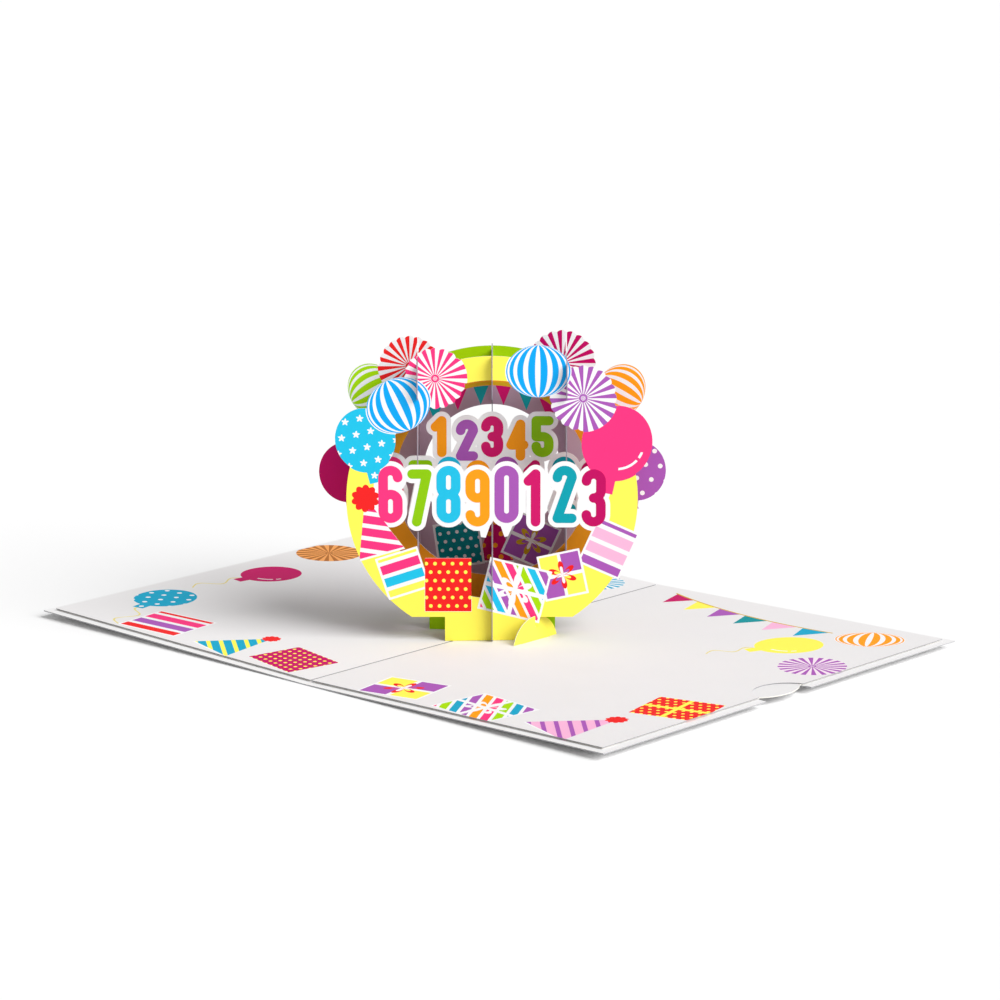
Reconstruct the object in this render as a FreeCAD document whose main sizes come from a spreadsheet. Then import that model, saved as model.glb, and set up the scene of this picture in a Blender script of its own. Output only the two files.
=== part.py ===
import FreeCAD, Part

import math
import os

import Sketcher
from FreeCAD import Placement, Rotation, Vector

# A pop-up card, lying open in a shallow V, in millimetres.
# +X runs across the crease towards the panel with the note card, +Y along the crease, +Z up.
# The origin is the middle of the crease, on the outside of the cover.
# A lattice of upright slices stands on two feet, one each side of the crease.
# Slices that face the reader lie along u, which is +X turned about Z; ribs cross them along v.

DRIVING_SIZES = [
    ("panel_width", 127.0, "one panel, crease to outer edge: 5 in"),
    ("panel_height", 177.8, "along the crease: 7 in"),
    ("panel_tilt", 1.06, "degrees that each panel rises from the crease"),
    ("cover_sheet", 0.35, "thickness of the cover card"),
    ("strip_sheet", 0.45, "thickness of the mounting strips, which is the pocket's depth"),
    ("liner_sheet", 0.25, "thickness of the printed liners"),
    ("slice_sheet", 0.30, "thickness of slices, ribs, feet and note card"),
    ("liner_inset", 3.0, "liner edge inside the cover edge"),
    ("crease_gap", 0.4, "half the break between the two liners at the crease"),
    ("strip_width", 8.0, "width of the mounting strips"),
    ("strip_inset", 0.6, "mounting strip edge inside the liner edge"),
    ("thumb_radius", 11.5, "half-round thumb notch through cover and liner"),
    ("note_length", 101.6, "note card, along its slide: 4 in"),
    ("note_margin", 0.5, "air between the note card's ends and the mounting strips"),
    ("note_tab_width", 20.6, "chord of the rounded pull tab"),
    ("note_play", 0.05, "air under the note card in its pocket"),
    ("lattice_turn", 42.53, "degrees from +X to the face slices"),
    ("slice_pitch", 14.5, "from the middle slice to the front and back slices"),
    ("rib_pitch", 24.6, "from the middle rib to the side ribs"),
    ("slot_play", 0.05, "air each side of a sheet in its slot"),
    ("lattice_lift", 0.1, "air between the lattice's lowest edges and the liners"),
    ("ring_radius", 48.2, "outer radius of the front ring"),
    ("ring_height", 49.5, "height of the rings' outer centre"),
    ("ring_flat", 9.4, "height of the flat that cuts the foot of each ring"),
    ("middle_ring_grow", 0.9, "middle ring larger than the front one"),
    ("back_ring_shrink", 3.2, "back ring smaller than the front one"),
    ("opening_height", 52.7, "height of the centre of the rings' openings"),
    ("front_opening", 36.9, "opening radius, front slice"),
    ("middle_opening", 32.4, "opening radius, middle slice"),
    ("back_opening", 23.2, "opening radius, back slice"),
    ("base_reach", 15.7, "half length of the base strip, front and back slices"),
    ("middle_base_reach", 21.2, "half length of the base strip, middle slice"),
    ("foot_radius", 11.0, "half-round foot"),
    ("foot_sink", 2.8, "centre of the foot's round below the liner"),
    ("foot_neck", 14.0, "length of the foot's neck through its slit in the liner"),
    ("foot_flap", 8.0, "glue flap of the foot under the liner, at most"),
    ("foot_slit_floor", 6.2, "height to which the slit in a foot's crown reaches"),
    ("glue_tab", 8.0, "folded end of a base strip, glued to the back of its foot"),
    ("rib_nose", 3.0, "how far a rib's noses reach past the outer slices"),
    ("rib_window", 21.0, "width of a rib's window"),
    ("digit_stroke", 3.2, "stroke of the numerals in the front row"),
    ("digit_border", 1.5, "pale border of the numeral plates"),
    ("front_digit_height", 22.4, "height of a numeral plate in the front row"),
    ("front_digit_pitch", 9.6, "numeral spacing, front row"),
    ("front_row_floor", 39.4, "height of the lowest edge of the front row"),
    ("upper_digit_height", 17.0, "height of a numeral plate in the upper row"),
    ("upper_digit_pitch", 8.4, "numeral spacing, upper row"),
    ("upper_row_floor", 58.6, "height of the lowest edge of the upper row"),
]

doc = FreeCAD.newDocument("pop_up_card")
sheet = doc.addObject("Spreadsheet::Sheet", "Sizes")
for row, (alias, value, meaning) in enumerate(DRIVING_SIZES, start=1):
    sheet.set(f"A{row}", alias)
    sheet.set(f"B{row}", str(value))
    sheet.set(f"C{row}", meaning)
    sheet.setAlias(f"B{row}", alias)
doc.recompute()


def size(alias):
    return float(sheet.get(alias))


def number(expression):
    """The value of an expression in the sheet's names."""
    found = sheet.evalExpression(expression.replace("Sizes.", ""))
    return float(getattr(found, "Value", found))


TILT = math.radians(size("panel_tilt"))
TURN = size("lattice_turn")
SHEET = size("slice_sheet")
PLAY = size("slot_play")
PITCH = size("slice_pitch")
STACK = size("cover_sheet") + size("strip_sheet") + size("liner_sheet")
TOUCH = 1e-6
BEYOND = 120.0
parts = []


# Plain sheets of the card: sketched outlines, padded to the sheet's thickness

def sketch_in(body, role, name):
    sketch = body.newObject("Sketcher::SketchObject", name)
    plane = next(face for face in body.Origin.OriginFeatures if face.Role == role)
    sketch.AttachmentSupport = [(plane, "")]
    sketch.MapMode = "FlatFace"
    return sketch


def hold(sketch, index, end, axis, expression):
    """Holds one end of a line at a distance from the sketch's origin."""
    value = number(expression)
    if abs(value) < TOUCH:
        sketch.addConstraint(Sketcher.Constraint("PointOnObject", index, end, -2 if axis == "X" else -1))
        return
    if value > 0:
        held = sketch.addConstraint(Sketcher.Constraint(f"Distance{axis}", -1, 1, index, end, value))
        sketch.setExpression(f"Constraints[{held}]", expression)
        return
    held = sketch.addConstraint(Sketcher.Constraint(f"Distance{axis}", index, end, -1, 1, -value))
    sketch.setExpression(f"Constraints[{held}]", f"-({expression})")


def polygon_sketch(body, role, name, corners):
    """A closed outline with straight sides; its corners are pairs of expressions."""
    sketch = sketch_in(body, role, name)
    points = [Vector(number(x), number(y), 0) for x, y in corners]
    count = len(points)
    for i in range(count):
        sketch.addGeometry(Part.LineSegment(points[i], points[(i + 1) % count]))
    for i in range(count):
        sketch.addConstraint(Sketcher.Constraint("Coincident", i, 2, (i + 1) % count, 1))
    for i, (x, y) in enumerate(corners):
        hold(sketch, i, 1, "X", x)
        hold(sketch, i, 1, "Y", y)
    return sketch


def circle_sketch(body, role, name, centre_x, radius):
    """A circle on the sketch's X axis."""
    sketch = sketch_in(body, role, name)
    middle = Vector(number(centre_x), 0, 0)
    sketch.addGeometry(Part.Circle(middle, Vector(0, 0, 1), number(radius)))
    hold(sketch, 0, 3, "X", centre_x)
    sketch.addConstraint(Sketcher.Constraint("PointOnObject", 0, 3, -1))
    held = sketch.addConstraint(Sketcher.Constraint("Radius", 0, number(radius)))
    sketch.setExpression(f"Constraints[{held}]", radius)
    return sketch


def pad(body, sketch, length, midplane=False):
    feature = body.newObject("PartDesign::Pad", sketch.Name + "_pad")
    feature.Profile = sketch
    feature.setExpression("Length", length)
    feature.Midplane = midplane
    body.Tip = feature
    return feature


def cut_through(body, sketch):
    """Cuts a sketch's outline through the whole sheet, both ways."""
    doc.recompute()
    before = body.Shape.Volume
    feature = body.newObject("PartDesign::Pocket", sketch.Name + "_cut")
    feature.Profile = sketch
    feature.Type = "ThroughAll"
    feature.Midplane = True
    body.Tip = feature
    doc.recompute()
    assert body.Shape.Volume < before - TOUCH, f"{feature.Name} cuts nothing"
    return feature


def finish_piece(piece, label):
    piece.Label = label
    parts.append(piece)
    return piece


def panel_place(height, side):
    """Lays a sheet at a height above one panel's underside, tilted about the crease."""
    turn = Rotation(Vector(0, 1, 0), -side * size("panel_tilt"))
    return Placement(turn.multVec(Vector(0, 0, height)), turn)


def make_cover():
    """The folded cover: one sheet, mitred at the crease, with a thumb notch in its right edge."""
    body = doc.addObject("PartDesign::Body", "cover_body")
    width, thick, tilt = "Sizes.panel_width", "Sizes.cover_sheet", "(Sizes.panel_tilt * 1deg)"
    profile = polygon_sketch(body, "XZ_Plane", "cover_profile", [
        ("0", "0"),
        (f"{width} * cos{tilt}", f"{width} * sin{tilt}"),
        (f"{width} * cos{tilt} - {thick} * sin{tilt}", f"{width} * sin{tilt} + {thick} * cos{tilt}"),
        ("0", f"{thick} / cos{tilt}"),
    ])
    half = pad(body, profile, "Sizes.panel_height", midplane=True)
    doc.recompute()
    mirrored = body.newObject("PartDesign::Mirrored", "cover_fold")
    mirrored.Originals = [half]
    fold_plane = next(face for face in body.Origin.OriginFeatures if face.Role == "YZ_Plane")
    mirrored.MirrorPlane = (fold_plane, [""])
    body.Tip = mirrored
    notch = circle_sketch(body, "XY_Plane", "cover_notch", f"{width} * cos{tilt}", "Sizes.thumb_radius")
    cut_through(body, notch)
    return finish_piece(body, "cover")


def slit_corners(side):
    """The slit that a foot's neck drops through, as corners in the panel's own plane."""
    near = f"{side} * ({foot_x():.6f} - Sizes.slice_sheet / 2 - 2 * Sizes.slot_play)"
    far = f"{side} * ({foot_x():.6f} + Sizes.slice_sheet / 2 + 3 * Sizes.slot_play)"
    low = f"{side} * ({foot_y():.6f}) - Sizes.foot_neck / 2 - 2 * Sizes.slot_play"
    high = f"{side} * ({foot_y():.6f}) + Sizes.foot_neck / 2 + 2 * Sizes.slot_play"
    return [(near, low), (far, low), (far, high), (near, high)]


def make_liner(side, label):
    """A printed inner sheet: slit for its foot, and a thumb notch where the note card slides out."""
    body = doc.addObject("PartDesign::Body", label + "_body")
    near = f"{side} * Sizes.crease_gap"
    far = f"{side} * (Sizes.panel_width - Sizes.liner_inset)"
    half = "(Sizes.panel_height / 2 - Sizes.liner_inset)"
    outline = polygon_sketch(body, "XY_Plane", label + "_outline",
                             [(near, "-" + half), (far, "-" + half), (far, half), (near, half)])
    pad(body, outline, "Sizes.liner_sheet")
    cut_through(body, polygon_sketch(body, "XY_Plane", label + "_slit", slit_corners(side)))
    if side > 0:
        cut_through(body, circle_sketch(body, "XY_Plane", label + "_notch",
                                        "Sizes.panel_width", "Sizes.thumb_radius"))
    body.Placement = panel_place(size("cover_sheet") + size("strip_sheet"), side)
    return finish_piece(body, label)


def make_note_card():
    """The card that slides out of the pocket, with a rounded tab that fills the thumb notch."""
    body = doc.addObject("PartDesign::Body", "note_card_body")
    edge = "(Sizes.panel_width - Sizes.liner_inset - Sizes.strip_inset)"
    half = ("(Sizes.panel_height / 2 - Sizes.liner_inset - Sizes.strip_inset - Sizes.strip_width"
            " - Sizes.note_margin)")
    outline = polygon_sketch(body, "XY_Plane", "note_outline", [
        (f"{edge} - Sizes.note_length", "-" + half),
        (edge, "-" + half),
        (edge, half),
        (f"{edge} - Sizes.note_length", half),
    ])
    pad(body, outline, "Sizes.slice_sheet")
    rise = size("liner_inset") + size("strip_inset")
    chord = size("note_tab_width") / 2
    radius = (chord ** 2 + rise ** 2) / (2 * rise)
    tab = sketch_in(body, "XY_Plane", "note_tab")
    edge_x = number(edge)
    inner = edge_x - rise
    corners = [Vector(edge_x, -chord, 0), Vector(inner, -chord, 0), Vector(inner, chord, 0),
               Vector(edge_x, chord, 0)]
    for start, end in zip(corners, corners[1:]):
        tab.addGeometry(Part.LineSegment(start, end))
    crown = Vector(edge_x + rise, 0, 0)
    tab.addGeometry(Part.Arc(corners[0], crown, corners[3]))
    for first, second in ((0, 1), (1, 2)):
        tab.addConstraint(Sketcher.Constraint("Coincident", first, 2, second, 1))
    tab.addConstraint(Sketcher.Constraint("Coincident", 3, 1, 0, 1))
    tab.addConstraint(Sketcher.Constraint("Coincident", 3, 2, 2, 2))
    hold(tab, 0, 1, "X", edge)
    hold(tab, 0, 1, "Y", "-Sizes.note_tab_width / 2")
    hold(tab, 2, 2, "X", edge)
    hold(tab, 2, 2, "Y", "Sizes.note_tab_width / 2")
    held = tab.addConstraint(Sketcher.Constraint("Radius", 3, radius))
    lift = "(Sizes.liner_inset + Sizes.strip_inset)"
    chord_name = "(Sizes.note_tab_width / 2)"
    tab.setExpression(f"Constraints[{held}]", f"({chord_name} ^ 2 + {lift} ^ 2) / (2 * {lift})")
    pad(body, tab, "Sizes.slice_sheet")
    body.Placement = panel_place(size("cover_sheet") + size("note_play"), 1)
    return finish_piece(body, "note_card")


def strip_box(name, x, y, length, width):
    box = doc.addObject("Part::Box", name)
    box.setExpression("Length", length)
    box.setExpression("Width", width)
    box.setExpression("Height", "Sizes.strip_sheet")
    box.setExpression("Placement.Base.x", x)
    box.setExpression("Placement.Base.y", y)
    return box


def make_mounting_strips(side, label):
    """Strips of mounting tape that carry a liner: all round on the left, open at the pocket's mouth."""
    wide = "Sizes.strip_width"
    near = "(Sizes.crease_gap + Sizes.strip_inset)"
    far = "(Sizes.panel_width - Sizes.liner_inset - Sizes.strip_inset)"
    top = "(Sizes.panel_height / 2 - Sizes.liner_inset - Sizes.strip_inset)"
    start = near if side > 0 else f"(-{far})"
    crease_start = near if side > 0 else f"-{near} - {wide}"
    run = f"({far} - {near})"
    boxes = [
        strip_box(label + "_low", start, f"-{top}", run, wide),
        strip_box(label + "_high", start, f"{top} - {wide}", run, wide),
        strip_box(label + "_crease", crease_start, f"-{top}", wide, f"2 * {top}"),
    ]
    if side < 0:
        boxes.append(strip_box(label + "_edge", f"-{far}", f"-{top}", wide, f"2 * {top}"))
    joined = doc.addObject("Part::MultiFuse", label + "_joined")
    joined.Shapes = boxes
    joined.Refine = True
    joined.Placement = panel_place(size("cover_sheet"), side)
    return finish_piece(joined, label)


# The lattice: flat outlines in (u, height), pushed out to a sheet and stood at their place

FAN_FOLDS = 20
TUFT_FOLDS = 10
VALLEY_DEPTH = 0.045
BALLOON_LONG, BALLOON_SQUASH = 1.08, 0.93
KNOT_START, KNOT_END, KNOT_HALF = 1.02, 1.36, 1.9
PENNANT_HALF, PENNANT_HEM, PENNANT_DROP = 3.2, 1.6, 6.4
NUMERAL_JOG = 0.6
DOT = 0.01

def flat(points):
    """A straight-sided face, always wound the same way so that faces can be joined."""
    loop = points + points[:1]
    swept = sum(u0 * z1 - u1 * z0 for (u0, z0), (u1, z1) in zip(loop, loop[1:]))
    if swept < 0:
        loop.reverse()
    return Part.Face(Part.makePolygon([Vector(u, 0, z) for u, z in loop]))


def block(u_low, u_high, z_low, z_high):
    return flat([(u_low, z_low), (u_high, z_low), (u_high, z_high), (u_low, z_high)])


def turned(points, angle, u, z):
    """Points about (0, 0), turned by an angle in degrees and moved to (u, z)."""
    cosine, sine = math.cos(math.radians(angle)), math.sin(math.radians(angle))
    return [(u + x * cosine - y * sine, z + x * sine + y * cosine) for x, y in points]


def disc(u, z, radius, squash=1.0, angle=0.0):
    """A disc, or an upright or tilted oval where squash is under 1."""
    if squash == 1.0:
        edge = Part.Edge(Part.Circle(Vector(u, 0, z), Vector(0, -1, 0), radius))
        return Part.Face(Part.Wire(edge))
    cosine, sine = math.cos(math.radians(angle)), math.sin(math.radians(angle))
    long_end = Vector(u + radius * cosine, 0, z + radius * sine)
    short_end = Vector(u - radius * squash * sine, 0, z + radius * squash * cosine)
    return Part.Face(Part.Wire(Part.Edge(Part.Ellipse(long_end, short_end, Vector(u, 0, z)))))


def capsule(u0, z0, u1, z1, radius):
    """The area within a radius of a straight line."""
    along = Vector(u1 - u0, 0, z1 - z0)
    along.normalize()
    across = Vector(-along.z, 0, along.x) * radius
    start, end = Vector(u0, 0, z0), Vector(u1, 0, z1)
    return Part.Face(Part.Wire([
        Part.LineSegment(start + across, end + across).toShape(),
        Part.Arc(end + across, end + along * radius, end - across).toShape(),
        Part.LineSegment(end - across, start - across).toShape(),
        Part.Arc(start - across, start - along * radius, start + across).toShape(),
    ]))


def paper_fan(u, z, radius, folds=FAN_FOLDS):
    """A round paper fan with one scallop for each of its folds."""
    def rim(step, reach):
        angle = 2 * math.pi * step / folds
        return Vector(u + reach * math.cos(angle), 0, z + reach * math.sin(angle))

    valley = radius * (math.cos(math.pi / folds) - VALLEY_DEPTH)
    arcs = [Part.Arc(rim(k - 0.5, valley), rim(k, radius), rim(k + 0.5, valley)) for k in range(folds)]
    return Part.Face(Part.Wire([arc.toShape() for arc in arcs]))


def balloon(u, z, radius, lean):
    """A balloon: an oval body, and a knot at the end that it leans away from."""
    tilt = 90 + lean
    start, end = -radius * KNOT_START, -radius * KNOT_END
    knot = turned([(start, 0), (end, KNOT_HALF), (end, -KNOT_HALF)], tilt, u, z)
    return [disc(u, z, radius * BALLOON_LONG, BALLOON_SQUASH, tilt), flat(knot)]


def parcel(u, z, wide, tall, lean):
    """A square-cornered parcel about its middle."""
    half_w, half_t = wide / 2, tall / 2
    corners = [(-half_w, -half_t), (half_w, -half_t), (half_w, half_t), (-half_w, half_t)]
    return flat(turned(corners, lean, u, z))


def cone_hat(u, z, wide, tall, lean, tuft):
    """A cone hat with a scalloped tuft on its tip; (u, z) is the middle of its brim."""
    corners = turned([(-wide / 2, 0), (wide / 2, 0), (0, tall)], lean, u, z)
    tip = corners[2]
    return [flat(corners), paper_fan(tip[0], tip[1], tuft, TUFT_FOLDS)]


def pennant(u, opening):
    """A small flag that hangs from the top of an opening."""
    hem = size("opening_height") + math.sqrt(opening ** 2 - u ** 2)
    high = hem + PENNANT_HEM
    return flat([(u - PENNANT_HALF, high), (u, hem - PENNANT_DROP), (u + PENNANT_HALF, high)])


def numeral_plate(digit, u, z, wide, tall, reach):
    """The plate of one plain numeral: its strokes, each grown by reach."""
    bow = wide / 2
    left, right = u - bow, u + bow
    low, middle, top = z, z + tall / 2, z + tall
    low_bow, high_bow = low + bow, top - bow
    under, over = middle - bow, middle + bow
    bar = z + 0.35 * tall
    stem = u + 0.5 * bow
    belly = bow + reach
    strokes = {
        0: [(u, low_bow, u, high_bow, belly)],
        1: [(u, low, u, top, reach), (left, high_bow, u, top, reach)],
        2: [(u, high_bow, u, high_bow - DOT, belly), (left, low, right, low, reach),
            (right, high_bow, left, low, reach)],
        3: [(u, low_bow, u, under, belly), (u, over, u, high_bow, belly)],
        4: [(stem, low, stem, top, reach), (stem, top, left, bar, reach), (left, bar, right, bar, reach)],
        5: [(left, top, right, top, reach), (left, top, left, middle, reach), (u, low_bow, u, under, belly)],
        6: [(u, low_bow, u, under, belly), (left, low_bow, left, high_bow, reach),
            (u, high_bow, u, high_bow - DOT, belly)],
        7: [(left, top, right, top, reach), (right, top, u - 0.4 * bow, low, reach)],
        8: [(u, low_bow, u, under, belly), (u, over, u, high_bow, belly)],
        9: [(u, over, u, high_bow, belly), (right, low_bow, right, high_bow, reach),
            (u, low_bow, u, low_bow + DOT, belly)],
    }
    return [capsule(*stroke) for stroke in strokes[digit]]


def numeral_row(digits, pitch, plate_height, plate_floor):
    """A row of numeral plates that merge into one band, centred on the slice."""
    reach = size("digit_stroke") / 2 + size("digit_border")
    wide = pitch / 2
    tall = plate_height - 2 * reach
    faces = []
    for place, digit in enumerate(digits):
        u = (place - (len(digits) - 1) / 2) * pitch
        lift = NUMERAL_JOG * (-1) ** place
        faces += numeral_plate(digit, u, plate_floor + reach + lift, wide, tall, reach)
    return faces


def joined_face(first, others):
    """One face from overlapping faces, which all have to hang together."""
    sheets = [face.extrude(Vector(0, SHEET, 0)) for face in [first] + others]
    whole = sheets[0].multiFuse(sheets[1:]).removeSplitter()
    fronts = [face for face in whole.Faces if abs(face.CenterOfMass.y) < TOUCH]
    assert len(fronts) == 1, f"outline fell into {len(fronts)} faces"
    return fronts[0]


def without(face, cutters):
    """The largest piece that is left of a face."""
    cut = face.cut(cutters)
    return max(cut.Faces, key=lambda piece: piece.Area)


def lattice_to_card(u, v):
    """The card's x and y of a point in the lattice's own frame."""
    turn = math.radians(TURN)
    return (u * math.cos(turn) - v * math.sin(turn), u * math.sin(turn) + v * math.cos(turn))


def floor_at(u, v):
    """The height of the lattice's lowest edge over the liners, which rise from the crease."""
    x = lattice_to_card(u, v)[0]
    return STACK / math.cos(TILT) + abs(x) * math.tan(TILT) + size("lattice_lift")


def ring_outline(radius, opening, reach, across):
    """A ring with a flat foot, standing on its base strip; the strip dips over the crease."""
    centre = size("ring_height")
    flat_height = size("ring_flat")
    below = block(-radius, radius, centre - 2 * radius, flat_height)
    whole = disc(0, centre, radius).cut(below).Faces[0]
    ring = whole.cut(disc(0, size("opening_height"), opening)).Faces[0]
    over_crease = across * math.tan(math.radians(TURN))
    lower_edge = [(u, floor_at(u, across)) for u in (-reach, over_crease, reach)]
    inside_ring = flat_height + 1
    return joined_face(ring, [flat(lower_edge + [(reach, inside_ring), (-reach, inside_ring)])])


# Heights at which a slice's slot from above meets a rib's slot from below
MIDDLE_FRONT_LAP, MIDDLE_MIDDLE_LAP, MIDDLE_BACK_LAP = 93.6, 91.8, 86.0
SIDE_FRONT_LAP, SIDE_MIDDLE_LAP, SIDE_BACK_LAP = 90.0, 84.0, 79.0

# Heights at which a slice's slot meets a rib's at its foot, and where the slice's slot ends
BASE_LAP, SIDE_BASE_LAP = 15.0, 20.0
FRONT_BASE_END = size("front_row_floor") - 4
MIDDLE_BASE_END, SIDE_BASE_END, BACK_BASE_END = 30.0, 38.0, 45.0


def slot_in_slice(u, z_low, z_high=BEYOND):
    """A slot for a rib at u; without a top it runs out of the slice."""
    half = SHEET / 2 + PLAY
    return block(u - half, u + half, z_low, z_high)


def stand(face, across):
    """Pushes an outline out to a sheet and stands it across the lattice at a distance along v."""
    solid = face.extrude(Vector(0, SHEET, 0))
    solid.translate(Vector(0, across - SHEET / 2, 0))
    solid.rotate(Vector(), Vector(0, 0, 1), TURN)
    return solid


def bend_u():
    """Where the front slice's base strip bends to lie along its foot."""
    return size("slice_pitch") - size("crease_gap")


def foot_x():
    """The middle of a foot's sheet: the glue tab's middle, and one sheet further out."""
    return lattice_to_card(bend_u(), -PITCH)[0] + SHEET


def foot_y():
    """The near end of the glue tab, where the middle of the foot stands."""
    return lattice_to_card(bend_u(), -PITCH)[1]


def glue_tab():
    """The folded end of the front slice's base strip, with the fold rounded to the sheet's thickness."""
    x, y = lattice_to_card(bend_u(), -PITCH)
    low = floor_at(bend_u(), -PITCH)
    high = size("foot_slit_floor") - 3 * PLAY
    tab = Part.makeBox(SHEET, size("glue_tab"), high - low, Vector(x - SHEET / 2, y, low))
    fold = Part.makeCylinder(SHEET / 2, high - low, Vector(x, y, low))
    return tab, fold


def with_glue_tab(solid, back):
    """Adds the glue tab; the back slice has it at its other end, turned half round."""
    pieces = list(glue_tab())
    if back:
        for piece in pieces:
            piece.rotate(Vector(), Vector(0, 0, 1), 180)
    return solid.multiFuse(pieces).removeSplitter()


def strip_end_relief():
    """Clears the base strip's end past its fold, below the foot's slit."""
    return block(bend_u(), BEYOND, 0, size("foot_slit_floor") + PLAY)


def make_slice(label, outline, across, back=None):
    """Stands a slice's outline up; back says at which end it has a glue tab, if any."""
    solid = stand(outline, across)
    if back is not None:
        solid = with_glue_tab(solid, back)
    piece = doc.addObject("Part::Feature", label + "_sheet")
    piece.Shape = solid
    return finish_piece(piece, label)


def make_front_slice():
    """The yellow ring with the party motifs in front and the lower row of numerals."""
    reach = size("base_reach")
    ring = ring_outline(size("ring_radius"), size("front_opening"), reach, -PITCH)
    motifs = [
        paper_fan(30.0, 83.6, 11.0),
        paper_fan(-18.7, 90.2, 10.2),
        disc(15.2, 92.6, 10.6, 0.82, 0),
        disc(-30.8, 81.2, 10.8, 0.84, 25),
        parcel(7.5, 18.6, 21.0, 18.0, -14),
        parcel(23.4, 23.8, 14.5, 15.5, 12),
        parcel(-14.6, 20.4, 15.4, 18.2, 0),
        parcel(-29.6, 24.4, 14.6, 14.6, 18),
        parcel(38.6, 33.0, 15.0, 17.0, -24),
    ]
    motifs += balloon(41.2, 68.6, 11.6, -12)
    motifs += balloon(-41.8, 69.6, 9.9, 14)
    motifs += cone_hat(-36.4, 30.6, 15.6, 20.0, 16, 4.2)
    row = numeral_row([6, 7, 8, 9, 0, 1, 2, 3], size("front_digit_pitch"),
                      size("front_digit_height"), size("front_row_floor"))
    outline = joined_face(ring, motifs + row)
    slots = [slot_in_slice(side * size("rib_pitch"), SIDE_FRONT_LAP) for side in (-1, 1)]
    slots += [slot_in_slice(0, MIDDLE_FRONT_LAP), slot_in_slice(0, BASE_LAP, FRONT_BASE_END)]
    return make_slice("slice_front", without(outline, slots + [strip_end_relief()]), -PITCH, back=False)


def make_middle_slice():
    """The green ring behind it, with both rows of numerals and its own motifs."""
    reach = size("middle_base_reach")
    ring = ring_outline(size("ring_radius") + size("middle_ring_grow"), size("middle_opening"), reach, 0)
    motifs = [
        paper_fan(23.2, 92.6, 11.2),
        paper_fan(-27.4, 91.6, 10.2),
        disc(42.6, 83.2, 9.4, 0.86, 60),
        disc(-39.6, 83.4, 9.4, 0.86, -60),
    ]
    motifs += balloon(48.6, 56.0, 9.4, -6)
    motifs += balloon(-48.2, 55.6, 9.6, 8)
    motifs += [pennant(u, size("middle_opening")) for u in (-19.0, -11.4, -3.8, 3.8, 11.4, 19.0)]
    lower = numeral_row([6, 7, 8, 9, 0, 1, 2, 3], size("front_digit_pitch"),
                        size("front_digit_height"), size("front_row_floor"))
    upper = numeral_row([1, 2, 3, 4, 5], size("upper_digit_pitch"),
                        size("upper_digit_height"), size("upper_row_floor"))
    outline = joined_face(ring, motifs + lower + upper)
    slots = [slot_in_slice(0, MIDDLE_MIDDLE_LAP), slot_in_slice(0, BASE_LAP, MIDDLE_BASE_END)]
    for side in (-1, 1):
        place = side * size("rib_pitch")
        slots += [slot_in_slice(place, SIDE_MIDDLE_LAP), slot_in_slice(place, SIDE_BASE_LAP, SIDE_BASE_END)]
    return make_slice("slice_middle", without(outline, slots), 0)


def make_back_slice():
    """The back ring with a round hole, in front of which the smaller parcels stand."""
    reach = size("base_reach")
    ring = ring_outline(size("ring_radius") - size("back_ring_shrink"), size("back_opening"), reach, PITCH)
    motifs = [
        parcel(-11.4, 27.4, 15.6, 15.6, 8),
        parcel(13.2, 28.6, 15.6, 15.6, -24),
    ]
    motifs += cone_hat(1.0, 21.0, 12.4, 18.0, 0, 2.4)
    outline = joined_face(ring, motifs)
    slots = [slot_in_slice(side * size("rib_pitch"), SIDE_BACK_LAP) for side in (-1, 1)]
    slots += [slot_in_slice(0, MIDDLE_BACK_LAP), slot_in_slice(0, BASE_LAP, BACK_BASE_END)]
    relief = strip_end_relief()
    relief.rotate(Vector(), Vector(0, 0, 1), 180)
    return make_slice("slice_back", without(outline, slots + [relief]), PITCH, back=True)


# Ribs: tall plates that cross the slices, each in a pair of half slots

NOSE_ROOT = 3.0
NOSE_CORNER = 1.2
RIB_SHOULDER, RIB_CHAMFER = 3.6, 4.0


def slot_in_rib(v, z_low, z_high):
    """A slot for a slice at v, a little deeper than where the slice's own slot ends."""
    half = SHEET / 2 + PLAY
    return block(v - half, v + half, z_low, z_high + 2 * PLAY)


def rib_window(z_low, z_high):
    """A tall round-ended opening in the middle of a rib."""
    bow = size("rib_window") / 2
    return capsule(0, z_low + bow, 0, z_high - bow, bow)


def rib_nose(side, z_low, z_high):
    """A nose with cut corners that reaches past an outer slice."""
    root = side * (PITCH - NOSE_ROOT)
    tip = side * (PITCH + size("rib_nose"))
    short = tip - side * NOSE_CORNER
    return flat([(root, z_low), (short, z_low), (tip, z_low + NOSE_CORNER), (tip, z_high - NOSE_CORNER),
                 (short, z_high), (root, z_high)])


def make_rib(label, place, top, bottom, window, noses, slots):
    """A rib: a tall plate with a window, noses that hook the outer slices, and its slots."""
    edge = PITCH - SHEET / 2 - PLAY
    body = flat([(-edge, bottom[1]), (0, bottom[0]), (edge, bottom[1]), (edge, top - RIB_SHOULDER),
                 (edge - RIB_CHAMFER, top), (-edge, top)])
    outline = joined_face(body, [rib_nose(*nose) for nose in noses])
    outline = without(outline, [slot_in_rib(*slot) for slot in slots] + window)
    solid = outline.extrude(Vector(0, SHEET, 0))
    solid.translate(Vector(0, -SHEET / 2, 0))
    solid.rotate(Vector(), Vector(0, 0, 1), 90)
    solid.translate(Vector(place, 0, 0))
    solid.rotate(Vector(), Vector(0, 0, 1), TURN)
    piece = doc.addObject("Part::Feature", label + "_sheet")
    piece.Shape = solid
    return finish_piece(piece, label)


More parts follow.
